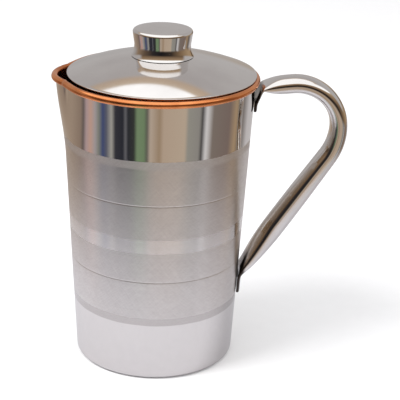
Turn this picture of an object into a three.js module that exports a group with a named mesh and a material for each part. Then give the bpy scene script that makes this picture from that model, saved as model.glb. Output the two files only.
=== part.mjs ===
// Water jug with a lid: a tapered steel shell over a copper liner whose rim is rolled out over the
// steel as a round bead, a bent pipe handle with flattened ends, and a lift-off domed lid with a
// hollow knob. Millimetres, +Z up, origin at the centre of the flat base.
// The handle points along +X and the pouring lip along -X.
import * as THREE from 'three';

// ---- driving dimensions: body ----
const BASE_RADIUS = 56.2;          // outside of the steel wall, carried down to the table
const MOUTH_RADIUS = 66.3;         // outside of the steel wall, at the height of the rolled rim
const RIM_HEIGHT = 202.4;          // centre of the rolled rim above the table
const STEEL_THICKNESS = 0.7;
const COPPER_THICKNESS = 0.7;
const BASE_CORNER_RADIUS = 3;
const BEAD_RADIUS = 2.35;          // outside of the rolled rim's round section
const BEAD_CURL_END = -95;         // degrees below level where the curl meets the steel
const FIT_GAP = 0.3;               // between pieces that touch

// ---- driving dimensions: pouring lip ----
const LIP_THROW = 6.4;             // how far the lip is pressed out, before the pinch is taken off
const LIP_HALF_ANGLE = 16;         // degrees each side of -X
const LIP_SHAPE_POWER = 2.5;
const PINCH_DEPTH = 2.6;           // how far the rim is drawn in around the lip
const PINCH_HALF_ANGLE = 38;
const LIP_LENGTH = 52;             // how far down the wall the pressing reaches
const UNPRESSED_RADIUS = 28;       // the floor inside this radius is never moved

// ---- driving dimensions: handle ----
const PIPE_RADIUS = 8;
const PIPE_WALL = 1;
const FLAT_THICKNESS = 2.4;        // the pipe's thickness where its ends are pressed flat
const BEND_THICKNESS = 11.6;       // the pipe's thickness round the bend
const TOP_TONGUE_DROP = 20.4;      // upper tongue's lower tip below the middle of the rolled rim
const TOP_TONGUE_CONTACT = 4;      // length of the upper tongue that lies on the wall
const BEAD_TO_HANDLE = 1.2;        // between the rolled rim and the middle of the flattened pipe
const TOP_FOLD_DROP = 5.3;         // upper fold below the middle of the rolled rim
const TOP_RUN_RISE = 0.8;          // virtual corner of the bend above the middle of the rolled rim
const HANDLE_REACH = 125.2;        // middle of the pipe, at its farthest from the jug's axis
const KNEE_DROP = 45;              // where the bend turns into the slanted run, below the rim
const LOWER_FOLD_HEIGHT = 59;
const LOWER_TONGUE_END = 46.5;
const FOLD_RADIUS = 3;
const TONGUE_LEAVE_RADIUS = 8;
const BEND_RADIUS = 30.5;
const KNEE_RADIUS = 40;
const LOWER_FOLD_RADIUS = 18;
const OPENING_LENGTH = 16;         // flat end to bend thickness, at the top
const ROUNDING_LENGTH = 55;        // bend thickness back to round pipe, down the slanted run
const CLOSING_LENGTH = 44;         // round pipe to flat end, at the bottom
const CLOSING_POWER = 2.2;
const FLAT_SQUARING = 0.5;         // how far a flattened section leaves the ellipse
const HUG_FADE = 12;               // length over which a tongue's curve around the wall fades out

// ---- driving dimensions: lid and knob ----
const LID_EDGE_INSET = 2.15;       // the lid's edge inside the middle of the rolled rim
const LID_THICKNESS = 0.8;
const LID_DOME_RISE = 13;
const LID_SIDE_PLAY = 2.2;         // the lid rests against the handle side of the mouth
const RING_CLEARANCE = 0.5;        // left beside the locating ring once the play is taken up
const RING_DEPTH = 11;
const RING_FLANGE = 4;
const RING_THICKNESS = 0.8;
const KNOB_RADIUS = 20.4;
const KNOB_WAIST_RADIUS = 19.2;
const KNOB_FOOT_RADIUS = 21.2;
const KNOB_HEIGHT = 17.2;          // flat top above the crown of the lid
const KNOB_WAIST_BELOW_TOP = 10.2;
const KNOB_FLARE_BEND = 0.3;       // height of the flare's control point, from foot to waist
const KNOB_EDGE_RADIUS = 2.2;
const KNOB_THICKNESS = 0.8;
const KNOB_PLATE_THICKNESS = 1.2;
const KNOB_BOSS_RADIUS = 4.5;
const KNOB_BOSS_HEIGHT = 6;
const SCREW_RADIUS = 2;
const SCREW_HEAD_RADIUS = 4;
const SCREW_HEAD_HEIGHT = 2.4;
const SCREW_HEAD_TAPER = 0.6;      // share of the head's radius and height where its edge is cut
const SCREW_ENGAGEMENT = 5;        // thread held in the plate's boss
const WASHER_RADIUS = 6;
const WASHER_THICKNESS = 0.8;
const SCREW_HOLE_CLEARANCE = 0.35;

// ---- facet counts ----
const BODY_SEGMENTS = 60;
const LID_SEGMENTS = 48;
const KNOB_SEGMENTS = 30;
const SCREW_SEGMENTS = 16;
const PIPE_SEGMENTS = 16;
const LID_DOME_STEPS = 9;
const KNOB_FLARE_STEPS = 6;
const WALL_STEP = 9;               // spacing of the wall's rings inside the pressed lip
const ARC_STEP = 30;               // degrees between the points of a rounded corner
const PATH_LINE_STEP = 9;          // millimetres between the handle's sections on straight runs
const PATH_ARC_STEP = 18;          // degrees between the handle's sections on bends
const SHORTEST_RUN = 0.01;         // a shorter run of the handle's middle line is skipped

// ---- worked out from the driving dimensions ----
const LINER_STANDOFF = STEEL_THICKNESS + FIT_GAP;
const WALL_STACK = LINER_STANDOFF + COPPER_THICKNESS;
const BEAD_CENTRE_RADIUS = MOUTH_RADIUS - WALL_STACK + BEAD_RADIUS;
const BEAD_BOTTOM = RIM_HEIGHT - BEAD_RADIUS;
const TOP_TONGUE_END = RIM_HEIGHT - TOP_TONGUE_DROP;
const KNEE_HEIGHT = RIM_HEIGHT - KNEE_DROP;
const LID_RADIUS = BEAD_CENTRE_RADIUS - LID_EDGE_INSET;
const BEAD_TOP = RIM_HEIGHT + BEAD_RADIUS;
const LID_SEAT = BEAD_TOP + FIT_GAP;
const LID_CROWN = LID_SEAT + LID_THICKNESS + LID_DOME_RISE;
const KNOB_TOP = LID_CROWN + KNOB_HEIGHT;
const SCREW_HOLE_RADIUS = SCREW_RADIUS + SCREW_HOLE_CLEARANCE;

const radians = THREE.MathUtils.degToRad;

function wallRadius(height) {
  return THREE.MathUtils.lerp(BASE_RADIUS, MOUTH_RADIUS, height / RIM_HEIGHT);
}

function lidSurface(radius) {
  const share = radius / LID_RADIUS;
  return LID_CROWN - LID_DOME_RISE * share * share;
}

// Points of an arc in a profile: centre, radius, first and last angle in degrees.
function arcPoints(centreRadius, centreHeight, radius, from, to) {
  const count = Math.max(2, Math.ceil(Math.abs(to - from) / ARC_STEP));
  const points = [];
  for (let i = 0; i <= count; i += 1) {
    const angle = radians(from + ((to - from) * i) / count);
    const across = centreRadius + radius * Math.cos(angle);
    points.push([across, centreHeight + radius * Math.sin(angle)]);
  }
  return points;
}

// Revolves a profile of [radius, height] points about +Z.
function revolve(points, segments) {
  const profile = points.map(([radius, height]) => new THREE.Vector2(radius, height));
  const geometry = new THREE.LatheGeometry(profile, segments);
  geometry.rotateX(Math.PI / 2);
  return geometry;
}

function closed(points) {
  return [...points, points[0]];
}

// ---- body ----

// Points up a wall that stands a set distance inside the steel wall's outside.
function wallPoints(standoff, fromHeight, toHeight) {
  const lipFoot = BEAD_BOTTOM - LIP_LENGTH;
  const count = Math.ceil(LIP_LENGTH / WALL_STEP);
  const heights = [fromHeight];
  for (let i = 0; i <= count; i += 1) {
    const height = lipFoot + (LIP_LENGTH * i) / count;
    if (height > fromHeight && height < toHeight) heights.push(height);
  }
  heights.push(toHeight);
  return heights.map((height) => [wallRadius(height) - standoff, height]);
}

// The outside, or the inside, of a cup: flat base, rounded corner and wall up to a height.
function cupSkin(standoff, floor, toHeight) {
  const corner = BASE_CORNER_RADIUS - standoff;
  const centreHeight = floor + corner;
  const centreRadius = wallRadius(centreHeight) - standoff - corner;
  const bend = arcPoints(centreRadius, centreHeight, corner, -90, 0).slice(0, -1);
  return [[0, floor], ...bend, ...wallPoints(standoff, centreHeight, toHeight)];
}

// Moves a body's vertices out at the pouring lip and in beside it.
function pressLip(geometry) {
  const position = geometry.attributes.position;
  for (let i = 0; i < position.count; i += 1) {
    const x = position.getX(i);
    const y = position.getY(i);
    const depth = (BEAD_BOTTOM - position.getZ(i)) / LIP_LENGTH;
    const radius = Math.hypot(x, y);
    if (radius > UNPRESSED_RADIUS && depth < 1) {
      const angle = Math.abs(THREE.MathUtils.radToDeg(Math.atan2(y, -x)));
      const strength = THREE.MathUtils.smoothstep(1 - depth, 0, 1);
      const out = LIP_THROW * Math.exp(-((angle / LIP_HALF_ANGLE) ** LIP_SHAPE_POWER));
      const pinch = PINCH_DEPTH * Math.exp(-((angle / PINCH_HALF_ANGLE) ** 2));
      const scale = 1 + (strength * (out - pinch)) / radius;
      position.setXY(i, x * scale, y * scale);
    }
  }
  geometry.computeVertexNormals();
  return geometry;
}

// The steel shell ends as a plain edge inside the hollow of the copper rim.
function outerShell() {
  const outside = cupSkin(0, 0, RIM_HEIGHT);
  const inside = cupSkin(STEEL_THICKNESS, STEEL_THICKNESS, RIM_HEIGHT);
  return pressLip(revolve([...outside, ...inside.reverse()], BODY_SEGMENTS));
}

// The copper liner: a cup whose top edge is rolled outwards over the steel.
function copperLiner() {
  const inside = cupSkin(WALL_STACK, WALL_STACK, RIM_HEIGHT);
  const outside = cupSkin(LINER_STANDOFF, LINER_STANDOFF, RIM_HEIGHT);
  const curlInner = BEAD_RADIUS - COPPER_THICKNESS;
  const over = arcPoints(BEAD_CENTRE_RADIUS, RIM_HEIGHT, BEAD_RADIUS, 180, BEAD_CURL_END);
  const under = arcPoints(BEAD_CENTRE_RADIUS, RIM_HEIGHT, curlInner, BEAD_CURL_END, 180);
  const up = [...inside.slice(0, -1), ...over];
  const down = [...under, ...outside.slice(0, -1).reverse()];
  return pressLip(revolve([...up, ...down].reverse(), BODY_SEGMENTS));
}

// ---- handle ----

// Length of straight run that a rounded corner takes up on each of its sides.
function cornerReach(points, index, radius) {
  if (index === 0 || index === points.length - 1) return 0;
  const arriving = points[index].clone().sub(points[index - 1]);
  const leaving = points[index + 1].clone().sub(points[index]);
  return radius * Math.tan(Math.abs(arriving.angleTo(leaving)) / 2);
}

// Radii eased down wherever two neighbouring corners would need more than the run between them.
function fittedRadii(points, radii) {
  const fitted = [...radii];
  for (let i = 1; i < points.length; i += 1) {
    const run = points[i].distanceTo(points[i - 1]);
    const taken = cornerReach(points, i - 1, fitted[i - 1]) + cornerReach(points, i, fitted[i]);
    const share = Math.min(1, run / (taken + SHORTEST_RUN));
    fitted[i - 1] *= share;
    fitted[i] *= share;
  }
  return fitted;
}

// Joins corner points with straight runs and rounds each inner corner to its radius.
function roundedPath(points, wantedRadii) {
  const radii = fittedRadii(points, wantedRadii);
  const path = new THREE.Path();
  path.moveTo(points[0].x, points[0].y);
  for (let i = 1; i < points.length - 1; i += 1) {
    const arriving = points[i].clone().sub(points[i - 1]).normalize();
    const leaving = points[i + 1].clone().sub(points[i]).normalize();
    const turn = Math.atan2(arriving.cross(leaving), arriving.dot(leaving));
    const side = Math.sign(turn);
    const start = points[i].clone().addScaledVector(arriving, -radii[i] * Math.tan(Math.abs(turn) / 2));
    const toCentre = new THREE.Vector2(-arriving.y, arriving.x).multiplyScalar(side * radii[i]);
    const centre = start.clone().add(toCentre);
    const from = Math.atan2(start.y - centre.y, start.x - centre.x);
    path.lineTo(start.x, start.y);
    path.absarc(centre.x, centre.y, radii[i], from, from + turn, side < 0);
  }
  const end = points[points.length - 1];
  path.lineTo(end.x, end.y);
  return path;
}

// The middle line of the handle in the plane of X and Z, from the upper tongue to the lower one.
function handlePath() {
  const standoff = FIT_GAP + FLAT_THICKNESS / 2;
  const onWall = (height) => new THREE.Vector2(wallRadius(height) + standoff, height);
  const topFoldX = BEAD_CENTRE_RADIUS + BEAD_RADIUS + BEAD_TO_HANDLE;
  const points = [
    onWall(TOP_TONGUE_END),
    onWall(TOP_TONGUE_END + TOP_TONGUE_CONTACT),
    new THREE.Vector2(topFoldX, RIM_HEIGHT - TOP_FOLD_DROP),
    new THREE.Vector2(HANDLE_REACH, RIM_HEIGHT + TOP_RUN_RISE),
    new THREE.Vector2(HANDLE_REACH, KNEE_HEIGHT),
    onWall(LOWER_FOLD_HEIGHT),
    onWall(LOWER_TONGUE_END),
  ];
  const radii = [0, TONGUE_LEAVE_RADIUS, FOLD_RADIUS, BEND_RADIUS, KNEE_RADIUS, LOWER_FOLD_RADIUS, 0];
  return roundedPath(points, radii);
}

// Places along the handle where its section is set, each with its point, direction and distance.
function handleStations() {
  const stations = [];
  let travelled = 0;
  const curves = handlePath().curves.filter((curve) => curve.getLength() > SHORTEST_RUN);
  for (const curve of curves) {
    const length = curve.getLength();
    const bent = curve instanceof THREE.EllipseCurve;
    const arcSpacing = bent ? curve.xRadius * radians(PATH_ARC_STEP) : PATH_LINE_STEP;
    const count = Math.max(1, Math.ceil(length / arcSpacing));
    for (let i = stations.length ? 1 : 0; i <= count; i += 1) {
      const point = curve.getPoint(i / count);
      const along = curve.getTangent(i / count);
      stations.push({ point, along, distance: travelled + (length * i) / count });
    }
    travelled += length;
  }
  return stations;
}

// The handle's whole length, and the lengths of its two flat tongues.
function tongueLengths(stations) {
  const total = stations[stations.length - 1].distance;
  const top = Math.hypot(
    BEAD_CENTRE_RADIUS + BEAD_RADIUS + BEAD_TO_HANDLE - wallRadius(TOP_TONGUE_END),
    RIM_HEIGHT - TOP_FOLD_DROP - TOP_TONGUE_END,
  );
  const bottom = LOWER_FOLD_HEIGHT - LOWER_TONGUE_END;
  return { total, top, bottom };
}

// The pipe's thickness in the plane of the bend: flat, opened for the bend, round, then flat.
function pipeThickness(distance, lengths) {
  const round = 2 * PIPE_RADIUS;
  const opening = THREE.MathUtils.clamp((distance - lengths.top) / OPENING_LENGTH, 0, 1);
  const opened = (BEND_THICKNESS - FLAT_THICKNESS) * (1 - (1 - opening) ** 2);
  const bendLength = BEND_RADIUS * Math.PI;
  const roundingStart = lengths.top + bendLength / 2;
  const rounding = THREE.MathUtils.smoothstep(
    distance,
    roundingStart,
    roundingStart + bendLength / 2 + ROUNDING_LENGTH,
  );
  const rounded = (round - BEND_THICKNESS) * rounding;
  const left = lengths.total - lengths.bottom - distance;
  const closing = THREE.MathUtils.clamp(1 - left / CLOSING_LENGTH, 0, 1);
  const pressed = (round - FLAT_THICKNESS) * closing ** CLOSING_POWER;
  return Math.max(FLAT_THICKNESS, FLAT_THICKNESS + opened + rounded - pressed);
}

// How closely the pipe's end is curved around the wall: 1 on a tongue, 0 on the free run.
function wallHug(distance, lengths) {
  const fromTop = (distance - TOP_TONGUE_CONTACT) / HUG_FADE;
  const fromBottom = (lengths.total - lengths.bottom - distance) / HUG_FADE;
  return 1 - THREE.MathUtils.smoothstep(Math.min(fromTop, fromBottom), 0, 1);
}

// A straight pipe whose sections are pressed to their thickness and carried along the path.
function handleTube() {
  const stations = handleStations();
  const lengths = tongueLengths(stations);
  const up = stations.map((station, index) => new THREE.Vector2(PIPE_RADIUS, index));
  const down = stations.map((station, index) => new THREE.Vector2(PIPE_RADIUS - PIPE_WALL, index));
  const geometry = new THREE.LatheGeometry([...up, ...down.reverse(), up[0]], PIPE_SEGMENTS);
  const position = geometry.attributes.position;
  for (let i = 0; i < position.count; i += 1) {
    const across = new THREE.Vector2(position.getX(i), position.getZ(i));
    const inset = PIPE_RADIUS - across.length();
    const { point, along, distance } = stations[Math.round(position.getY(i))];
    const halfThickness = pipeThickness(distance, lengths) / 2;
    const halfWidth = Math.sqrt(2 * PIPE_RADIUS ** 2 - halfThickness ** 2);
    const flatness = 1 - (halfThickness / PIPE_RADIUS) ** 2;
    const power = 1 - FLAT_SQUARING * flatness;
    across.normalize();
    const side = Math.sign(across.x) * Math.abs(across.x) ** power * (halfWidth - inset);
    const rise = Math.sign(across.y) * Math.abs(across.y) ** power * (halfThickness - inset);
    const curveRadius = wallRadius(point.y);
    const sag = curveRadius - Math.sqrt(curveRadius ** 2 - side ** 2);
    const x = point.x + along.y * rise - sag * wallHug(distance, lengths);
    position.setXYZ(i, x, side, point.y - along.x * rise);
  }
  geometry.computeVertexNormals();
  return geometry;
}

// ---- lid ----

// Points of the lid's dome surface, lowered by an amount, between two radii.
function domePoints(lowered, fromRadius, toRadius, count) {
  const points = [];
  for (let i = 0; i <= count; i += 1) {
    const radius = THREE.MathUtils.lerp(fromRadius, toRadius, i / count);
    points.push([radius, lidSurface(radius) - lowered]);
  }
  return points;
}

function lidDome() {
  const top = domePoints(0, SCREW_HOLE_RADIUS, LID_RADIUS, LID_DOME_STEPS);
  const under = domePoints(LID_THICKNESS, LID_RADIUS, SCREW_HOLE_RADIUS, LID_DOME_STEPS);
  return revolve(closed([...top, ...under]).reverse(), LID_SEGMENTS);
}

// A band that drops into the mouth, with a flange under the dome for its welds.
function lidLocatingRing() {
  const deepest = LID_SEAT - RING_DEPTH;
  const outer = wallRadius(deepest) - WALL_STACK - LID_SIDE_PLAY - RING_CLEARANCE;
  const inner = outer - RING_THICKNESS;
  const flangeEdge = inner - RING_FLANGE;
  const below = LID_THICKNESS + FIT_GAP;
  const flangeBelow = below + RING_THICKNESS;
  const profile = [
    [outer, deepest],
    [outer, lidSurface(outer) - below],
    [flangeEdge, lidSurface(flangeEdge) - below],
    [flangeEdge, lidSurface(flangeEdge) - flangeBelow],
    [inner, lidSurface(inner) - flangeBelow],
    [inner, deepest],
  ];
  return revolve(closed(profile), LID_SEGMENTS);
}

// ---- knob ----

// Half of the knob's outline, from its flat top to the flared foot, set in by a wall thickness.
function knobOutline(inset) {
  const top = KNOB_TOP - inset;
  const edge = KNOB_EDGE_RADIUS - inset;
  const corner = arcPoints(KNOB_RADIUS - KNOB_EDGE_RADIUS, KNOB_TOP - KNOB_EDGE_RADIUS, edge, 90, 0);
  const waistHeight = KNOB_TOP - KNOB_WAIST_BELOW_TOP;
  const footHeight = lidSurface(KNOB_FOOT_RADIUS) + FIT_GAP;
  const waist = new THREE.Vector2(KNOB_WAIST_RADIUS - inset, waistHeight);
  const foot = new THREE.Vector2(KNOB_FOOT_RADIUS - inset, footHeight);
  const bendHeight = THREE.MathUtils.lerp(footHeight, waistHeight, KNOB_FLARE_BEND);
  const bend = new THREE.Vector2(KNOB_WAIST_RADIUS - inset, bendHeight);
  const flare = new THREE.QuadraticBezierCurve(waist, bend, foot).getPoints(KNOB_FLARE_STEPS);
  return [[0, top], ...corner, ...flare.map((point) => [point.x, point.y])];
}

function knobShell() {
  const outside = knobOutline(0);
  const inside = knobOutline(KNOB_THICKNESS);
  return revolve([...outside, ...inside.reverse()].reverse(), KNOB_SEGMENTS);
}

// A disc pressed inside the knob, with a threaded boss for the screw.
function knobPlate() {
  const bottom = LID_CROWN + FIT_GAP;
  const top = bottom + KNOB_PLATE_THICKNESS;
  const rim = KNOB_WAIST_RADIUS - KNOB_THICKNESS - FIT_GAP;
  const bore = SCREW_RADIUS + FIT_GAP;
  const profile = [
    [bore, bottom],
    [rim, bottom],
    [rim, top],
    [KNOB_BOSS_RADIUS, top],
    [KNOB_BOSS_RADIUS, top + KNOB_BOSS_HEIGHT],
    [bore, top + KNOB_BOSS_HEIGHT],
  ];
  return revolve(closed(profile), KNOB_SEGMENTS);
}

const LID_UNDER_CROWN = LID_CROWN - LID_THICKNESS;
const WASHER_TOP = LID_UNDER_CROWN - FIT_GAP;
const SCREW_SEAT = WASHER_TOP - WASHER_THICKNESS - FIT_GAP;

function knobWasher() {
  const bottom = WASHER_TOP - WASHER_THICKNESS;
  const profile = [
    [SCREW_HOLE_RADIUS, bottom],
    [WASHER_RADIUS, bottom],
    [WASHER_RADIUS, WASHER_TOP],
    [SCREW_HOLE_RADIUS, WASHER_TOP],
  ];
  return revolve(closed(profile), SCREW_SEGMENTS);
}

function knobScrew() {
  const bottom = SCREW_SEAT - SCREW_HEAD_HEIGHT;
  const tip = LID_CROWN + FIT_GAP + KNOB_PLATE_THICKNESS + SCREW_ENGAGEMENT;
  const profile = [
    [0, bottom],
    [SCREW_HEAD_RADIUS * SCREW_HEAD_TAPER, bottom],
    [SCREW_HEAD_RADIUS, bottom + SCREW_HEAD_HEIGHT * SCREW_HEAD_TAPER],
    [SCREW_HEAD_RADIUS, SCREW_SEAT],
    [SCREW_RADIUS, SCREW_SEAT],
    [SCREW_RADIUS, tip],
    [0, tip],
  ];
  return revolve(profile, SCREW_SEGMENTS);
}

// ---- assembly ----

const polishedSteel = { color: 0xb9b6b4, roughness: 0.15, metalness: 1 };
const satinSteel = { color: 0xaeabad, roughness: 0.35, metalness: 1 };
const copper = { color: 0xc0703c, roughness: 0.25, metalness: 1 };
const zincSteel = { color: 0x9a9a98, roughness: 0.45, metalness: 1 };

function piece(name, geometry, finish) {
  const mesh = new THREE.Mesh(geometry, new THREE.MeshStandardMaterial(finish));
  mesh.name = name;
  return mesh;
}

const jug = new THREE.Group();
jug.add(piece('outer_shell', outerShell(), satinSteel));
jug.add(piece('copper_liner', copperLiner(), copper));
jug.add(piece('handle_tube', handleTube(), polishedSteel));

const lid = new THREE.Group();
lid.position.x = LID_SIDE_PLAY;
lid.add(piece('lid_dome', lidDome(), polishedSteel));
lid.add(piece('lid_locating_ring', lidLocatingRing(), polishedSteel));
lid.add(piece('knob_shell', knobShell(), polishedSteel));
lid.add(piece('knob_plate', knobPlate(), zincSteel));
lid.add(piece('knob_washer', knobWasher(), zincSteel));
lid.add(piece('knob_screw', knobScrew(), zincSteel));

const model = new THREE.Group();
model.add(jug, lid);

export default model;
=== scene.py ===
import math

import bmesh
import bpy
from mathutils import Matrix, Vector


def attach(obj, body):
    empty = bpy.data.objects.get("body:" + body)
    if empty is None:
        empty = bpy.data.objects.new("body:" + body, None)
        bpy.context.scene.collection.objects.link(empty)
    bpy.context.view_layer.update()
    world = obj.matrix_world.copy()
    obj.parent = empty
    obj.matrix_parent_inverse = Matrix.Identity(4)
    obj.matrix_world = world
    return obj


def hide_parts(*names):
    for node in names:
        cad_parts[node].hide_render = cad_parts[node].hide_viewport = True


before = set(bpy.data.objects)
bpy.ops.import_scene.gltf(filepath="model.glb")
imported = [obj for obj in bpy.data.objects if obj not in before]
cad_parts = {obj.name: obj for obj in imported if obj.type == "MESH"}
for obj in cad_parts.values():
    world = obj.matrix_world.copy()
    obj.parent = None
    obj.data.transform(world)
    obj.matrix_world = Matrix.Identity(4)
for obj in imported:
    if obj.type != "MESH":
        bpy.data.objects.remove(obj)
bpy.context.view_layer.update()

# Lengths are written in millimetres and scaled to metres when a mesh is made.
MM = 0.001

# ---- the jug's sizes, as in the CAD ----
BASE_RADIUS = 56.2
MOUTH_RADIUS = 66.3
RIM_HEIGHT = 202.4
STEEL = 0.7
COPPER = 0.7
GAP = 0.3
CORNER_RADIUS = 3.0
BEAD_RADIUS = 2.35
CURL_END = -95.0
LINER_STANDOFF = STEEL + GAP
WALL_STACK = LINER_STANDOFF + COPPER
BEAD_CENTRE = MOUTH_RADIUS - WALL_STACK + BEAD_RADIUS
BEAD_BOTTOM = RIM_HEIGHT - BEAD_RADIUS
BEAD_TOP = RIM_HEIGHT + BEAD_RADIUS

# ---- pouring lip ----
LIP_THROW = 6.4
LIP_HALF_ANGLE = 16.0
LIP_SHAPE_POWER = 2.5
PINCH_DEPTH = 2.6
PINCH_HALF_ANGLE = 38.0
LIP_LENGTH = 52.0
UNPRESSED_RADIUS = BASE_RADIUS / 2    # the pressing leaves the middle of the base alone
CREASE_ANGLE = 18.5        # the bead is creased where it turns into the lip
CREASE_WIDTH = 1.3
CREASE_DEPTH = 0.7
CREASE_LENGTH = 15.0       # how far down the wall the crease dies out

# ---- turned lines and bands of finish, as heights on the wall ----
GROOVES = (131.2, 75.0)
GROOVE_DEPTH = 0.13
GROOVE_WIDTH = 0.32
GROOVE_STEP = GROOVE_WIDTH / 2
GROOVE_STEPS = 6           # extra rings on each side of a groove's middle
FOOT_MIRROR_TOP = 41.6
LOW_BAND_TOP = 46.9
MIDDLE_BAND = (96.3, 106.2)
SATIN_TOP = 156.7
MIRROR_BOTTOM = 162.8

# ---- handle ----
PIPE_RADIUS = 8.0
PIPE_WALL = 1.0
FLAT_THICKNESS = 2.4
BEND_THICKNESS = 11.6
TOP_TONGUE_END = RIM_HEIGHT - 20.4
TOP_TONGUE_CONTACT = 4.0
BEAD_TO_HANDLE = 1.2
TOP_FOLD_DROP = 5.3
TOP_RUN_RISE = 0.8
HANDLE_REACH = 125.2
KNEE_HEIGHT = RIM_HEIGHT - 45.0
LOWER_FOLD_HEIGHT = 59.0
LOWER_TONGUE_END = 46.5
PATH_RADII = (0.0, 8.0, 3.0, 30.5, 40.0, 18.0, 0.0)
BEND_RADIUS = 30.5
OPENING_LENGTH = 16.0
ROUNDING_LENGTH = 55.0
CLOSING_LENGTH = 44.0
CLOSING_POWER = 2.2
HUG_FADE = 12.0
SQUARING = 0.5             # how far a flattened section leaves the ellipse
SHORTEST_RUN = 0.007       # added so that a run with no bends is never divided by zero

# ---- lid and knob ----
LID_SHIFT = 2.2
LID_RADIUS = BEAD_CENTRE - 2.15
LID_THICKNESS = 0.8
LID_DOME_RISE = 13.0
LID_EDGE_ARC = (78.0, -100.0)    # degrees, from the top of the sheet round to its underside
LID_UNDER_INSET = 0.2
LID_CROWN = BEAD_TOP + GAP + LID_THICKNESS + LID_DOME_RISE
SCREW_HOLE = 2.35
RING_DEPTH = 11.0
RING_FLANGE = 4.0
RING_THICKNESS = 0.8
RING_CLEARANCE = 0.5
KNOB_RADIUS = 20.4
KNOB_WAIST = 19.2
KNOB_FOOT = 21.2
KNOB_TOP = LID_CROWN + 17.2
KNOB_WAIST_BELOW_TOP = 10.2
KNOB_EDGE = 2.2
KNOB_WALL = 0.8
FLARE_BEND = 0.3           # height of the flare's control point, from foot to waist

# ---- mesh resolution ----
ROUND = 256
HIDDEN_STEP = 6.0          # spacing of rings on walls that are out of sight
PIPE_ROUND = 56
WALL_STEP = 1.4
ARC_STEP = 8.0
PATH_STEP = 1.3
FLARE_STEPS = 16
DISC_ROUND = 128
SHARP_ANGLE = 38.0


def lerp(a, b, share):
    return a + (b - a) * share


def smooth(value, start=0.0, end=1.0):
    share = min(1.0, max(0.0, (value - start) / (end - start)))
    return share * share * (3 - 2 * share)


def wall_radius(height):
    return lerp(BASE_RADIUS, MOUTH_RADIUS, height / RIM_HEIGHT)


def lid_surface(radius):
    return LID_CROWN - LID_DOME_RISE * (radius / LID_RADIUS) ** 2


def arc(centre, height, radius, start, end):
    """Profile points of an arc, with angles in degrees."""
    count = max(2, math.ceil(abs(end - start) / ARC_STEP))
    angles = [math.radians(lerp(start, end, i / count)) for i in range(count + 1)]
    return [(centre + radius * math.cos(a), height + radius * math.sin(a)) for a in angles]


# ---- meshes ----

def finish_mesh(name, vertices, faces):
    """Makes a smooth, outward-facing object from points in millimetres."""
    mesh = bpy.data.meshes.new(name)
    mesh.from_pydata([tuple(c * MM for c in v) for v in vertices], [], faces)
    work = bmesh.new()
    work.from_mesh(mesh)
    bmesh.ops.recalc_face_normals(work, faces=work.faces)
    work.to_mesh(mesh)
    work.free()
    mesh.shade_smooth()
    mesh.set_sharp_from_angle(angle=math.radians(SHARP_ANGLE))
    made = bpy.data.objects.new(name, mesh)
    bpy.context.scene.collection.objects.link(made)
    return made


def revolve(name, profile, closed=False, shape=None, shift=0.0):
    """Turns a profile of (radius, height) about Z. shape moves each point, shift moves all in X."""
    vertices, rings = [], []
    for radius, height in profile:
        first = len(vertices)
        count = ROUND if radius > 0 else 1
        for i in range(count):
            angle = 2 * math.pi * i / ROUND
            point = (radius * math.cos(angle), radius * math.sin(angle), height)
            if shape:
                point = shape(point)
            vertices.append((point[0] + shift, point[1], point[2]))
        rings.append((first, count))
    pairs = list(zip(rings, rings[1:]))
    if closed:
        pairs.append((rings[-1], rings[0]))
    faces = []
    for (a, a_count), (b, b_count) in pairs:
        for i in range(ROUND):
            j = (i + 1) % ROUND
            if a_count == 1:
                faces.append((a, b + j, b + i))
            elif b_count == 1:
                faces.append((a + i, a + j, b))
            else:
                faces.append((a + i, a + j, b + j, b + i))
    return finish_mesh(name, vertices, faces)


def press_lip(point):
    """Moves a point out at the pouring lip and in beside it, with a crease at each side."""
    x, y, z = point
    depth = (BEAD_BOTTOM - z) / LIP_LENGTH
    radius = math.hypot(x, y)
    if radius < UNPRESSED_RADIUS or depth >= 1:
        return point
    angle = abs(math.degrees(math.atan2(y, -x)))
    strength = smooth(1 - depth)
    out = LIP_THROW * math.exp(-((angle / LIP_HALF_ANGLE) ** LIP_SHAPE_POWER))
    pinch = PINCH_DEPTH * math.exp(-((angle / PINCH_HALF_ANGLE) ** 2))
    fade = smooth(1 - (BEAD_BOTTOM - z) / CREASE_LENGTH)
    crease = CREASE_DEPTH * fade * math.exp(-(((angle - CREASE_ANGLE) / CREASE_WIDTH) ** 2))
    scale = 1 + (strength * (out - pinch) - crease) / radius
    return (x * scale, y * scale, z)


def groove(height):
    return sum(GROOVE_DEPTH * math.exp(-(((height - g) / GROOVE_WIDTH) ** 2)) for g in GROOVES)


def wall_points(standoff, start, end, grooved):
    press = BEAD_BOTTOM - LIP_LENGTH
    heights = set()
    for low, high, step in ((start, press, HIDDEN_STEP), (press, end, WALL_STEP)):
        count = math.ceil((high - low) / step)
        heights |= {lerp(low, high, i / count) for i in range(count + 1)}
    if grooved:
        near = range(-GROOVE_STEPS, GROOVE_STEPS + 1)
        heights |= {g + i * GROOVE_STEP for g in GROOVES for i in near}
    cut = groove if grooved else (lambda height: 0.0)
    return [(wall_radius(h) - standoff - cut(h), h) for h in sorted(heights)]


def cup(standoff, floor, top, grooved=False):
    """One skin of a cup: flat base, rounded corner and wall."""
    corner = CORNER_RADIUS - standoff
    height = floor + corner
    bend = arc(wall_radius(height) - standoff - corner, height, corner, -90, 0)[:-1]
    return [(0.0, floor), *bend, *wall_points(standoff, height, top, grooved)]


def outer_shell():
    outside = cup(0, 0, RIM_HEIGHT, grooved=True)
    inside = cup(STEEL, STEEL, RIM_HEIGHT)
    return revolve("shell_skin", outside + inside[::-1], shape=press_lip)


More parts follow.
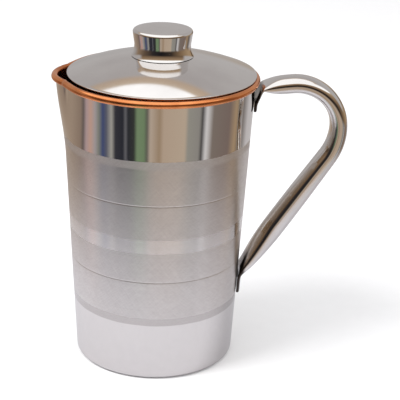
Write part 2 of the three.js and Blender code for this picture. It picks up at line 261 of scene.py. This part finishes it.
def copper_liner():
    inside = cup(WALL_STACK, WALL_STACK, RIM_HEIGHT)
    outside = cup(LINER_STANDOFF, LINER_STANDOFF, RIM_HEIGHT)
    over = arc(BEAD_CENTRE, RIM_HEIGHT, BEAD_RADIUS, 180, CURL_END)
    under = arc(BEAD_CENTRE, RIM_HEIGHT, BEAD_RADIUS - COPPER, CURL_END, 180)
    profile = inside[:-1] + over + under + outside[:-1][::-1]
    return revolve("liner_skin", profile, shape=press_lip)


# ---- handle ----

def corner_reach(points, index, radius):
    if index in (0, len(points) - 1):
        return 0.0
    arriving = points[index] - points[index - 1]
    leaving = points[index + 1] - points[index]
    return radius * math.tan(arriving.angle(leaving) / 2)


def fitted_radii(points, radii):
    """Radii eased down where two corners need more than the run between them."""
    fitted = list(radii)
    for i in range(1, len(points)):
        taken = corner_reach(points, i - 1, fitted[i - 1]) + corner_reach(points, i, fitted[i])
        run = (points[i] - points[i - 1]).length
        share = min(1.0, run / (taken + SHORTEST_RUN))
        fitted[i - 1] *= share
        fitted[i] *= share
    return fitted


def handle_corners():
    standoff = GAP + FLAT_THICKNESS / 2

    def on_wall(height):
        return Vector((wall_radius(height) + standoff, height))

    return [
        on_wall(TOP_TONGUE_END),
        on_wall(TOP_TONGUE_END + TOP_TONGUE_CONTACT),
        Vector((BEAD_CENTRE + BEAD_RADIUS + BEAD_TO_HANDLE, RIM_HEIGHT - TOP_FOLD_DROP)),
        Vector((HANDLE_REACH, RIM_HEIGHT + TOP_RUN_RISE)),
        Vector((HANDLE_REACH, KNEE_HEIGHT)),
        on_wall(LOWER_FOLD_HEIGHT),
        on_wall(LOWER_TONGUE_END),
    ]


def path_points():
    """The handle's middle line as closely spaced points in the plane of X and Z."""
    corners = handle_corners()
    radii = fitted_radii(corners, PATH_RADII)
    line = [corners[0]]
    for i in range(1, len(corners) - 1):
        arriving = (corners[i] - corners[i - 1]).normalized()
        leaving = (corners[i + 1] - corners[i]).normalized()
        cross = arriving.x * leaving.y - arriving.y * leaving.x
        turn = math.atan2(cross, arriving.dot(leaving))
        start = corners[i] - arriving * radii[i] * math.tan(abs(turn) / 2)
        side = math.copysign(radii[i], turn)
        centre = start + Vector((-arriving.y, arriving.x)) * side
        spoke = start - centre
        count = max(4, math.ceil(abs(turn) * radii[i] / PATH_STEP))
        for k in range(count + 1):
            line.append(centre + Matrix.Rotation(turn * k / count, 2) @ spoke)
    line.append(corners[-1])
    return line


def spaced(line):
    """Points at an even spacing along a line, each with its direction and distance."""
    lengths = [0.0]
    for a, b in zip(line, line[1:]):
        lengths.append(lengths[-1] + (b - a).length)
    count = math.ceil(lengths[-1] / PATH_STEP)
    places, k = [], 0
    for i in range(count + 1):
        distance = lengths[-1] * i / count
        while k < len(line) - 2 and lengths[k + 1] < distance:
            k += 1
        run = lengths[k + 1] - lengths[k]
        share = (distance - lengths[k]) / run if run > 0 else 0.0
        places.append((line[k].lerp(line[k + 1], share), distance))
    stations = []
    for i, (point, distance) in enumerate(places):
        before = places[max(0, i - 1)][0]
        after = places[min(count, i + 1)][0]
        stations.append((point, (after - before).normalized(), distance))
    return stations


def pipe_thickness(distance, total, top, bottom):
    """Flat at the top, opened for the bend, round down the slanted run, flat at the bottom."""
    opening = min(1.0, max(0.0, (distance - top) / OPENING_LENGTH))
    opened = (BEND_THICKNESS - FLAT_THICKNESS) * (1 - (1 - opening) ** 2)
    bend = BEND_RADIUS * math.pi / 2
    rounding = smooth(distance, top + bend, top + 2 * bend + ROUNDING_LENGTH)
    rounded = (2 * PIPE_RADIUS - BEND_THICKNESS) * rounding
    closing = min(1.0, max(0.0, 1 - (total - bottom - distance) / CLOSING_LENGTH))
    pressed = (2 * PIPE_RADIUS - FLAT_THICKNESS) * closing ** CLOSING_POWER
    return max(FLAT_THICKNESS, FLAT_THICKNESS + opened + rounded - pressed)


def section(point, along, half, hug, inset):
    """One ring of the pipe, pressed to a half thickness and curved around the wall."""
    width = math.sqrt(2 * PIPE_RADIUS ** 2 - half ** 2)
    power = 1 - SQUARING * (1 - (half / PIPE_RADIUS) ** 2)
    radius = wall_radius(point.y)
    ring = []
    for i in range(PIPE_ROUND):
        angle = 2 * math.pi * i / PIPE_ROUND
        across, up = math.cos(angle), math.sin(angle)
        side = math.copysign(abs(across) ** power, across) * (width - inset)
        rise = math.copysign(abs(up) ** power, up) * (half - inset)
        sag = radius - math.sqrt(radius ** 2 - side ** 2)
        ring.append((point.x + along.y * rise - sag * hug, side, point.y - along.x * rise))
    return ring


def handle_tube():
    stations = spaced(path_points())
    total = stations[-1][2]
    fold = handle_corners()[2]
    top = math.hypot(fold.x - wall_radius(TOP_TONGUE_END), fold.y - TOP_TONGUE_END)
    bottom = LOWER_FOLD_HEIGHT - LOWER_TONGUE_END
    outer, inner = [], []
    for point, along, distance in stations:
        half = pipe_thickness(distance, total, top, bottom) / 2
        from_end = min(distance - TOP_TONGUE_CONTACT, total - bottom - distance)
        hug = 1 - smooth(from_end / HUG_FADE)
        outer.append(section(point, along, half, hug, 0.0))
        inner.append(section(point, along, half, hug, PIPE_WALL))
    rings = outer + inner[::-1]
    faces = []
    for r in range(len(rings)):
        a, b = r * PIPE_ROUND, (r + 1) % len(rings) * PIPE_ROUND
        for i in range(PIPE_ROUND):
            j = (i + 1) % PIPE_ROUND
            faces.append((a + i, a + j, b + j, b + i))
    return finish_mesh("handle_pipe", [v for ring in rings for v in ring], faces)


# ---- lid and knob ----

def dome_points(lowered, start, end):
    count = math.ceil(abs(end - start) / WALL_STEP)
    radii = [lerp(start, end, i / count) for i in range(count + 1)]
    return [(r, lid_surface(r) - lowered) for r in radii]


def lid_dome():
    half = LID_THICKNESS / 2
    edge = LID_RADIUS - half
    top = dome_points(0, SCREW_HOLE, edge)
    rim = arc(edge, lid_surface(edge) - half, half, *LID_EDGE_ARC)
    under = dome_points(LID_THICKNESS, edge - LID_UNDER_INSET, SCREW_HOLE)
    return revolve("lid_skin", top + rim + under, closed=True, shift=LID_SHIFT)


def locating_ring():
    deepest = BEAD_TOP + GAP - RING_DEPTH
    outer = wall_radius(deepest) - WALL_STACK - LID_SHIFT - RING_CLEARANCE
    inner = outer - RING_THICKNESS
    flange = inner - RING_FLANGE
    below = LID_THICKNESS + GAP
    half = RING_THICKNESS / 2
    lip = arc(outer - half, deepest + half, half, 180, 360)
    profile = [
        *lip,
        (outer, lid_surface(outer) - below),
        (flange, lid_surface(flange) - below),
        (flange, lid_surface(flange) - below - RING_THICKNESS),
        (inner, lid_surface(inner) - below - RING_THICKNESS),
    ]
    return revolve("ring_skin", profile, closed=True, shift=LID_SHIFT)


def knob_outline(inset):
    """From the flat top to the flared foot, set in by a wall thickness."""
    corner = arc(KNOB_RADIUS - KNOB_EDGE, KNOB_TOP - KNOB_EDGE, KNOB_EDGE - inset, 90, 0)
    waist_height = KNOB_TOP - KNOB_WAIST_BELOW_TOP
    foot_height = lid_surface(KNOB_FOOT) + GAP
    waist = Vector((KNOB_WAIST - inset, waist_height))
    foot = Vector((KNOB_FOOT - inset, foot_height))
    bend = Vector((KNOB_WAIST - inset, lerp(foot_height, waist_height, FLARE_BEND)))
    shares = [i / FLARE_STEPS for i in range(FLARE_STEPS + 1)]
    flare = [waist.lerp(bend, t).lerp(bend.lerp(foot, t), t) for t in shares]
    return [(0.0, KNOB_TOP - inset), *corner, *[(p.x, p.y) for p in flare]]


def knob_shell():
    profile = knob_outline(0) + knob_outline(KNOB_WALL)[::-1]
    return revolve("knob_skin", profile, shift=LID_SHIFT)


# ---- node helpers ----

class Finish:
    """A procedural metal, with short calls for the nodes that the finishes share."""

    def __init__(self, name):
        self.material = bpy.data.materials.new(name)
        self.material.use_nodes = True
        self.tree = self.material.node_tree
        self.shader = self.tree.nodes["Principled BSDF"]
        self.shader.inputs["Metallic"].default_value = 1.0
        self.place = self.tree.nodes.new("ShaderNodeTexCoord").outputs["Object"]

    def link(self, source, target):
        self.tree.links.new(source, target)

    def noise(self, scale, detail=3.0, tilt=(0, 0, 0)):
        """Noise whose grain is stretched by a scale for each axis, in cycles per metre."""
        mapping = self.tree.nodes.new("ShaderNodeMapping")
        mapping.inputs["Scale"].default_value = scale
        turned = self.tree.nodes.new("ShaderNodeVectorRotate")
        turned.rotation_type = "EULER_XYZ"
        turned.inputs["Rotation"].default_value = [math.radians(t) for t in tilt]
        grain = self.tree.nodes.new("ShaderNodeTexNoise")
        grain.inputs["Scale"].default_value = 1.0
        grain.inputs["Detail"].default_value = detail
        self.link(self.place, turned.inputs["Vector"])
        self.link(turned.outputs["Vector"], mapping.inputs["Vector"])
        self.link(mapping.outputs["Vector"], grain.inputs["Vector"])
        return grain.outputs["Fac"]

    def remap(self, source, low, high, to_low, to_high):
        node = self.tree.nodes.new("ShaderNodeMapRange")
        values = (low, high, to_low, to_high)
        for key, value in zip(("From Min", "From Max", "To Min", "To Max"), values):
            node.inputs[key].default_value = value
        self.link(source, node.inputs["Value"])
        return node.outputs["Result"]

    def math(self, operation, a, b):
        node = self.tree.nodes.new("ShaderNodeMath")
        node.operation = operation
        for socket, value in zip(node.inputs, (a, b)):
            if isinstance(value, (int, float)):
                socket.default_value = value
            else:
                self.link(value, socket)
        return node.outputs["Value"]

    def mix(self, factor, first, second):
        node = self.tree.nodes.new("ShaderNodeMix")
        node.data_type = "RGBA"
        self.link(factor, node.inputs["Factor"])
        for socket, value in ((node.inputs[6], first), (node.inputs[7], second)):
            if isinstance(value, tuple):
                socket.default_value = (*value, 1.0)
            else:
                self.link(value, socket)
        return node.outputs[2]

    def height(self):
        split = self.tree.nodes.new("ShaderNodeSeparateXYZ")
        self.link(self.place, split.inputs["Vector"])
        return split.outputs["Z"]

    def bump(self, source, depth):
        """depth is how many millimetres the height of 1 stands for."""
        node = self.tree.nodes.new("ShaderNodeBump")
        node.inputs["Distance"].default_value = depth * MM
        self.link(source, node.inputs["Height"])
        self.link(node.outputs["Normal"], self.shader.inputs["Normal"])

    def colour(self, source):
        self.link(source, self.shader.inputs["Base Color"])

    def roughness(self, source):
        self.link(source, self.shader.inputs["Roughness"])

    def brushed(self, amount):
        """Spreads the gloss across the turning marks, which run around Z."""
        tangent = self.tree.nodes.new("ShaderNodeTangent")
        tangent.direction_type = "RADIAL"
        tangent.axis = "Z"
        self.link(tangent.outputs["Tangent"], self.shader.inputs["Tangent"])
        self.shader.inputs["Anisotropic"].default_value = amount
        self.shader.inputs["Anisotropic Rotation"].default_value = QUARTER_TURN


# ---- finishes ----

STEEL_BRIGHT = (0.82, 0.80, 0.785)
STEEL_DULL = (0.73, 0.705, 0.695)
# a darker steel colour given to the narrow band just above the foot's mirror
STEEL_LOW_BAND = (0.62, 0.595, 0.58)
COPPER_BRIGHT = (0.94, 0.365, 0.14)
COPPER_DULL = (0.60, 0.18, 0.055)
HANDLE_WALL_SHADE = (0.055, 0.045, 0.04)       # painted shade, near black, where the handle's flat ends lie against the wall
SHADE_DARK_TO = 4.0                # fully dark up to here, in millimetres out from the wall
SHADE_CLEAR_FROM = 6.2             # and clear from here
SHADE_RAGGED = 0.0005              # metres by which its edge wanders
BAND_WOBBLE = 0.0006              # metres by which a band's edge wanders
ZINC_BRIGHT = (0.74, 0.73, 0.70)
ZINC_DULL = (0.50, 0.49, 0.46)
FLOOR_PALE = (0.94, 0.94, 0.945)
FLOOR_DIM = (0.91, 0.91, 0.915)

FOOT_ROUGH = 0.08
MIRROR_ROUGH = 0.055
SEMI_ROUGH = 0.2
SATIN_ROUGH = 0.34
FROSTED_ROUGH = 0.5
MIRROR_MARKS = 0.06               # how much of the satin's marks a mirror band keeps
POLISHED_ROUGH = (0.035, 0.10)    # clean and smeared
COPPER_ROUGH = (0.10, 0.24)
ZINC_ROUGH = (0.28, 0.5)
FLOOR_ROUGH = (0.7, 0.85)
BRUSHING = 0.55
QUARTER_TURN = 0.25

SHELL_BUMP = 0.011                # millimetres
POLISHED_BUMP = 0.0011
COPPER_BUMP = 0.006
ZINC_BUMP = 0.01


def band_ramp(finish, height, stops):
    """Steps a value up the wall: stops are (height in millimetres, value)."""
    ramp = finish.tree.nodes.new("ShaderNodeValToRGB")
    ramp.color_ramp.interpolation = "CONSTANT"
    steps = ramp.color_ramp.elements
    while len(steps) < len(stops):
        steps.new(1.0)
    for step, (up, value) in zip(steps, stops):
        step.position = up / RIM_HEIGHT
        step.color = (value, value, value, 1.0)
    finish.link(height, ramp.inputs["Fac"])
    return ramp.outputs["Color"]


def shell_steel():
    finish = Finish("turned_steel")
    wobble = finish.remap(finish.noise((60, 60, 60)), 0, 1, -BAND_WOBBLE, BAND_WOBBLE)
    share = finish.remap(
        finish.math("ADD", finish.height(), wobble), 0, RIM_HEIGHT * MM, 0, 1
    )
    roughness = band_ramp(finish, share, (
        (0.0, FOOT_ROUGH),
        (FOOT_MIRROR_TOP, SEMI_ROUGH),
        (LOW_BAND_TOP, SATIN_ROUGH),
        (MIDDLE_BAND[0], SEMI_ROUGH),
        (MIDDLE_BAND[1], SATIN_ROUGH),
        (SATIN_TOP, FROSTED_ROUGH),
        (MIRROR_BOTTOM, MIRROR_ROUGH),
    ))
    satin_share = finish.remap(roughness, MIRROR_ROUGH, SATIN_ROUGH, MIRROR_MARKS, 1.0)
    turned = finish.noise((60, 60, 1900), detail=4)
    rising = finish.noise((170, 170, 1500), detail=3, tilt=(10, 42, 0))
    falling = finish.noise((170, 170, 1500), detail=3, tilt=(-14, -48, 0))
    smears = finish.noise((22, 22, 9), detail=3)
    crossed = finish.math("MULTIPLY", finish.math("ADD", rising, falling), 0.5)
    marks = finish.math(
        "ADD",
        finish.math("MULTIPLY", turned, 0.5),
        finish.math("MULTIPLY", crossed, 1.5),
    )
    finish.bump(finish.math("MULTIPLY", marks, satin_share), SHELL_BUMP)
    streak = finish.remap(marks, 0.7, 1.3, -0.05, 0.05)
    worn = finish.remap(smears, 0.3, 0.7, -0.03, 0.03)
    change = finish.math("MULTIPLY", finish.math("ADD", streak, worn), satin_share)
    finish.roughness(finish.math("ADD", roughness, change))
    grain = finish.math("MULTIPLY", finish.remap(marks, 0.75, 1.25, 0, 1), satin_share)
    worn_steel = finish.mix(grain, STEEL_BRIGHT, STEEL_DULL)
    # the narrow band just above the foot's mirror is made darker in colour
    low_band_darker = band_ramp(finish, share, (
        (0.0, 0.0),
        (FOOT_MIRROR_TOP, 1.0),
        (LOW_BAND_TOP, 0.0),
    ))
    finish.colour(finish.mix(low_band_darker, worn_steel, STEEL_LOW_BAND))
    finish.brushed(BRUSHING)
    return finish.material


def painted_wall_shade(finish):
    """Painted shade: 1 where the handle's flat ends were welded to the wall, fading to 0 a little
    way off.
    """
    flat = finish.tree.nodes.new("ShaderNodeVectorMath")
    flat.operation = "MULTIPLY"
    flat.inputs[1].default_value = (1, 1, 0)
    finish.link(finish.place, flat.inputs[0])
    out = finish.tree.nodes.new("ShaderNodeVectorMath")
    out.operation = "LENGTH"
    finish.link(flat.outputs["Vector"], out.inputs[0])
    lean = (MOUTH_RADIUS - BASE_RADIUS) / RIM_HEIGHT
    wall = finish.math("ADD", finish.math("MULTIPLY", finish.height(), lean), BASE_RADIUS * MM)
    off = finish.math("SUBTRACT", out.outputs["Value"], wall)
    ragged = finish.remap(finish.noise((300, 300, 300)), 0, 1, -SHADE_RAGGED, SHADE_RAGGED)
    near = finish.math("ADD", off, ragged)
    return finish.remap(near, SHADE_DARK_TO * MM, SHADE_CLEAR_FROM * MM, 1, 0)


def polished_steel(name, wall_shaded=False):
    finish = Finish(name)
    turned = finish.noise((30, 30, 1800), detail=3)
    hairs = finish.noise((900, 40, 700), detail=2, tilt=(20, 0, 35))
    smears = finish.noise((35, 35, 35), detail=4)
    marks = finish.math("ADD", turned, hairs)
    finish.bump(marks, POLISHED_BUMP)
    finish.roughness(finish.remap(smears, 0.3, 0.7, *POLISHED_ROUGH))
    bright = finish.mix(finish.remap(smears, 0.35, 0.75, 0, 1), STEEL_BRIGHT, STEEL_DULL)
    # on the handle, painted shade darkens the steel where its flat ends lie against the wall
    finish.colour(finish.mix(painted_wall_shade(finish), bright, HANDLE_WALL_SHADE) if wall_shaded else bright)
    return finish.material


def liner_copper():
    finish = Finish("rolled_copper")
    patches = finish.noise((45, 45, 45), detail=5)
    drawn = finish.noise((25, 25, 1400), detail=3)
    hammered = finish.noise((260, 260, 260), detail=2)
    finish.bump(finish.math("ADD", finish.math("MULTIPLY", hammered, 4.0), drawn), COPPER_BUMP)
    finish.roughness(finish.remap(patches, 0.3, 0.7, *COPPER_ROUGH))
    finish.colour(finish.mix(finish.remap(patches, 0.35, 0.8, 0, 1), COPPER_BRIGHT, COPPER_DULL))
    return finish.material


def plated_steel():
    finish = Finish("zinc_plate")
    spangle = finish.noise((420, 420, 420), detail=5)
    turned = finish.noise((120, 120, 4000), detail=2)
    finish.bump(finish.math("ADD", spangle, turned), ZINC_BUMP)
    finish.roughness(finish.remap(spangle, 0.3, 0.7, *ZINC_ROUGH))
    finish.colour(finish.mix(finish.remap(spangle, 0.35, 0.65, 0, 1), ZINC_BRIGHT, ZINC_DULL))
    return finish.material


def reflected_floor():
    """The pale table top as the steel shows it, thinning out towards the room."""
    finish = Finish("reflected_floor")
    finish.shader.inputs["Metallic"].default_value = 0.0
    grain = finish.noise((90, 90, 90), detail=3)
    finish.colour(finish.mix(grain, REFLECTED_PALE, REFLECTED_DIM))
    finish.roughness(finish.remap(grain, 0, 1, *FLOOR_ROUGH))
    distance = finish.tree.nodes.new("ShaderNodeVectorMath")
    distance.operation = "LENGTH"
    finish.link(finish.place, distance.inputs["Vector"])
    fade = finish.remap(distance.outputs["Value"], TABLE_SOLID_TO, TABLE_EDGE, 1, 0)
    finish.link(fade, finish.shader.inputs["Alpha"])
    return finish.material


def studio_floor():
    finish = Finish("pale_floor")
    finish.shader.inputs["Metallic"].default_value = 0.0
    grain = finish.noise((90, 90, 90), detail=3)
    finish.colour(finish.mix(grain, FLOOR_PALE, FLOOR_DIM))
    finish.roughness(finish.remap(grain, 0, 1, *FLOOR_ROUGH))
    return finish.material


# ---- the pieces on their bodies ----

def place(made, material, body, node):
    made.data.materials.append(material)
    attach(made, body)
    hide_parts(node)


def build_pieces():
    polished = polished_steel("polished_steel")
    # the handle's steel carries painted shade near the wall
    pipe = polished_steel("handle_steel", wall_shaded=True)
    place(outer_shell(), shell_steel(), "jug", "outer_shell")
    place(copper_liner(), liner_copper(), "jug", "copper_liner")
    place(handle_tube(), pipe, "jug", "handle_tube")
    place(lid_dome(), polished, "lid", "lid_dome")
    place(locating_ring(), polished, "lid", "lid_locating_ring")
    place(knob_shell(), polished, "lid", "knob_shell")
    plated = plated_steel()
    for node in ("knob_plate", "knob_washer", "knob_screw"):
        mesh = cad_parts[node].data
        mesh.materials.clear()
        mesh.materials.append(plated)


# ---- floor, light and camera ----

TABLE_SOLID_TO = 0.15      # the table fades out in reflections from here
TABLE_EDGE = 0.37
REFLECTED_PALE = (0.60, 0.59, 0.62)
REFLECTED_DIM = (0.56, 0.55, 0.58)
FAR_FLOOR_RADIUS = 6.0
FLOOR_GAP = 0.0002

KEY_PLACE = (-1.0, -0.5, 1.5)
KEY_SIZE = 0.9
KEY_POWER = 22.0
FILL_PLACE = (0.7, -1.3, 1.0)
FILL_SIZE = 1.2
FILL_POWER = 8.0


def disc(name, radius, height, material):
    mesh = bpy.data.meshes.new(name)
    work = bmesh.new()
    bmesh.ops.create_circle(work, cap_ends=True, segments=DISC_ROUND, radius=radius)
    work.to_mesh(mesh)
    work.free()
    mesh.materials.append(material)
    made = bpy.data.objects.new(name, mesh)
    made.location.z = height
    bpy.context.scene.collection.objects.link(made)
    return made


# What stands around the table, as seen in the polished steel: (degrees from the front, colour).
# Minus is the side of the pouring lip. Colours are display values out of 255.
# They follow colours that were averaged from the reflections in the reference photo, and then
# adjusted by hand. report.md lists this under "Rules this hand-in does not meet".
ROOM_STRIPS = (
    (-180, (176, 166, 156)),
    (-135, (148, 131, 115)),
    (-112, (130, 113, 100)),
    (-106, (95, 85, 82)),
    (-100, (160, 140, 140)),
    (-92, (178, 146, 132)),
    (-84, (152, 145, 146)),
    (-78, (118, 120, 112)),
    (-72, (60, 70, 106)),
    (-66, (86, 88, 100)),
    (-59, (150, 148, 142)),
    (-54, (50, 50, 56)),
    (-43, (40, 41, 48)),
    (-40, (96, 96, 100)),
    (-37, (42, 43, 48)),
    (-29, (50, 52, 50)),
    (-25, (108, 128, 98)),
    (-17, (104, 124, 94)),
    (-13, (86, 86, 78)),
    (-9, (170, 155, 140)),
    (2, (146, 126, 104)),
    (7, (168, 150, 132)),
    (33, (172, 156, 138)),
    (37, (138, 136, 128)),
    (51, (132, 129, 124)),
    (55, (66, 64, 64)),
    (61, (196, 194, 194)),
    (70, (116, 106, 99)),
    (96, (112, 98, 92)),
    (108, (152, 130, 104)),
    (121, (92, 84, 78)),
    (140, (178, 174, 174)),
)
# The same for the band about level.
HORIZON = (
    (-180, (163, 160, 159)),
    (-140, (158, 155, 153)),
    (-112, (134, 114, 94)),
    (-75, (92, 76, 62)),
    (-40, (44, 40, 40)),
    (-5, (26, 25, 27)),
    (35, (52, 44, 38)),
    (75, (118, 96, 72)),
    (122, (156, 134, 106)),
    (143, (150, 126, 98)),
    (148, (70, 58, 48)),
    (155, (84, 70, 58)),
    (160, (154, 136, 114)),
    (180, (163, 160, 159)),
)
# What is above that, by degrees above level: behind the jug, then on the camera's side.
SKY_BEHIND = (
    (0, (170, 167, 166)),
    (43, (164, 160, 159)),
    (46, (176, 157, 138)),
    (50, (186, 168, 148)),
    (51.5, (255, 255, 255)),
    (90, (255, 255, 255)),
)
SKY_BEFORE = (
    (0, (70, 58, 48)),
    (14, (122, 100, 78)),
    (28, (150, 128, 102)),
    (33, (176, 156, 132)),
    (35, (255, 255, 255)),
    (90, (255, 255, 255)),
)
SKY_TILT = 0.35             # the lit panel behind reaches lower on the lip's side
STEEL_SHARE = 0.80          # how much of the room's light the steel gives back
SOFT_WHITE = (0.86, 0.86, 0.87)
SKY_BLEND = (2, 9)          # degrees above level where the band gives way to the sky
ROOM_BLEND = (-15, -9)      # and where the strips give way to the band
SIDE_BLEND = (-0.1, 0.15)   # from the camera's side to behind the jug, as the direction's y


def linear(display):
    """A display value out of 255 as light, before the steel takes its share."""
    value = display / 255
    light = value / 12.92 if value <= 0.04045 else ((value + 0.055) / 1.055) ** 2.4
    return light / STEEL_SHARE


class Room:
    """The world: white to the camera, soft white on matt things, a room in the gloss."""

    def __init__(self):
        self.world = bpy.data.worlds.new("studio")
        bpy.context.scene.world = self.world
        self.world.use_nodes = True
        self.tree = self.world.node_tree
        self.tree.nodes.clear()

    def add(self, kind, **settings):
        node = self.tree.nodes.new(kind)
        for key, value in settings.items():
            setattr(node, key, value)
        return node

    def math(self, operation, a, b=0.0):
        node = self.add("ShaderNodeMath", operation=operation)
        for socket, value in zip(node.inputs, (a, b)):
            if isinstance(value, (int, float)):
                socket.default_value = value
            else:
                self.tree.links.new(value, socket)
        return node.outputs["Value"]

    def remap(self, source, low, high):
        node = self.add("ShaderNodeMapRange")
        node.inputs["From Min"].default_value = low
        node.inputs["From Max"].default_value = high
        self.tree.links.new(source, node.inputs["Value"])
        return node.outputs["Result"]

    def ramp(self, source, stops, low, high):
        node = self.add("ShaderNodeValToRGB")
        steps = node.color_ramp.elements
        while len(steps) < len(stops):
            steps.new(1.0)
        for step, (at, colour) in zip(steps, stops):
            step.position = (at - low) / (high - low)
            step.color = (*[linear(c) for c in colour], 1.0)
        span = self.remap(source, math.radians(low), math.radians(high))
        self.tree.links.new(span, node.inputs["Fac"])
        return node.outputs["Color"]

    def mix(self, factor, first, second):
        node = self.add("ShaderNodeMix", data_type="RGBA")
        self.tree.links.new(factor, node.inputs["Factor"])
        for socket, value in ((node.inputs[6], first), (node.inputs[7], second)):
            if isinstance(value, tuple):
                socket.default_value = (*value, 1.0)
            else:
                self.tree.links.new(value, socket)
        return node.outputs[2]

    def build(self):
        place_node = self.add("ShaderNodeTexCoord")
        split = self.add("ShaderNodeSeparateXYZ")
        self.tree.links.new(place_node.outputs["Generated"], split.inputs["Vector"])
        x, y, z = split.outputs
        around = self.math("ARCTAN2", x, self.math("MULTIPLY", y, -1.0))
        up = self.math("ARCSINE", z)
        strips = self.ramp(around, ROOM_STRIPS, -180, 180)
        horizon = self.ramp(around, HORIZON, -180, 180)
        tilted = self.math("SUBTRACT", up, self.math("MULTIPLY", x, SKY_TILT))
        behind = self.ramp(tilted, SKY_BEHIND, 0, 90)
        before = self.ramp(up, SKY_BEFORE, 0, 90)
        sky = self.mix(self.remap(y, *SIDE_BLEND), before, behind)
        middle = self.mix(self.remap(up, *map(math.radians, SKY_BLEND)), horizon, sky)
        room = self.mix(self.remap(up, *map(math.radians, ROOM_BLEND)), strips, middle)
        path = self.add("ShaderNodeLightPath")
        soft = self.mix(path.outputs["Is Diffuse Ray"], room, SOFT_WHITE)
        seen = self.mix(path.outputs["Is Camera Ray"], soft, (1.0, 1.0, 1.0))
        background = self.add("ShaderNodeBackground")
        out = self.add("ShaderNodeOutputWorld")
        self.tree.links.new(seen, background.inputs["Color"])
        self.tree.links.new(background.outputs["Background"], out.inputs["Surface"])


def area_light(name, location, size, power):
    """A round soft light on the jug. It doesn't show in the gloss."""
    light = bpy.data.lights.new(name, "AREA")
    light.shape = "DISK"
    light.size = size
    light.energy = power
    made = bpy.data.objects.new(name, light)
    made.location = location
    aim = Vector((0, 0, RIM_HEIGHT * MM / 2)) - Vector(location)
    made.rotation_euler = aim.to_track_quat("-Z", "Y").to_euler()
    made.visible_glossy = False
    bpy.context.scene.collection.objects.link(made)


def build_stage():
    floor = studio_floor()
    near = disc("near_floor", TABLE_EDGE, -FLOOR_GAP, reflected_floor())
    near.visible_camera = False
    near.visible_diffuse = False
    near.visible_shadow = False
    far = disc("far_floor", FAR_FLOOR_RADIUS, -2 * FLOOR_GAP, floor)
    far.visible_glossy = False
    Room().build()
    area_light("key_light", KEY_PLACE, KEY_SIZE, KEY_POWER)
    area_light("fill_light", FILL_PLACE, FILL_SIZE, FILL_POWER)
    bpy.context.scene.view_settings.view_transform = "Standard"
    bpy.context.scene.view_settings.look = "None"


CAMERA_PLACE = (0.0, -0.8574, 0.445)
CAMERA_TURN = 2.05         # degrees towards +X
CAMERA_DIP = 21.17         # degrees below level
CAMERA_ROLL = 1.79
CAMERA_LENS = 117.0
SENSOR_WIDTH = 36.0


def build_camera():
    turn, dip, roll = (math.radians(a) for a in (CAMERA_TURN, CAMERA_DIP, CAMERA_ROLL))
    ahead = Vector((
        math.sin(turn) * math.cos(dip),
        math.cos(turn) * math.cos(dip),
        -math.sin(dip),
    ))
    level = Vector((math.cos(turn), -math.sin(turn), 0.0))
    above = level.cross(ahead)
    right = level * math.cos(roll) + above * math.sin(roll)
    up = above * math.cos(roll) - level * math.sin(roll)
    lens = bpy.data.cameras.new("camera")
    lens.lens = CAMERA_LENS
    lens.sensor_width = SENSOR_WIDTH
    camera = bpy.data.objects.new("camera", lens)
    turned = Matrix((right, up, -ahead)).transposed().to_4x4()
    camera.matrix_world = Matrix.Translation(CAMERA_PLACE) @ turned
    bpy.context.scene.collection.objects.link(camera)
    bpy.context.scene.camera = camera


build_camera()
build_pieces()
build_stage()
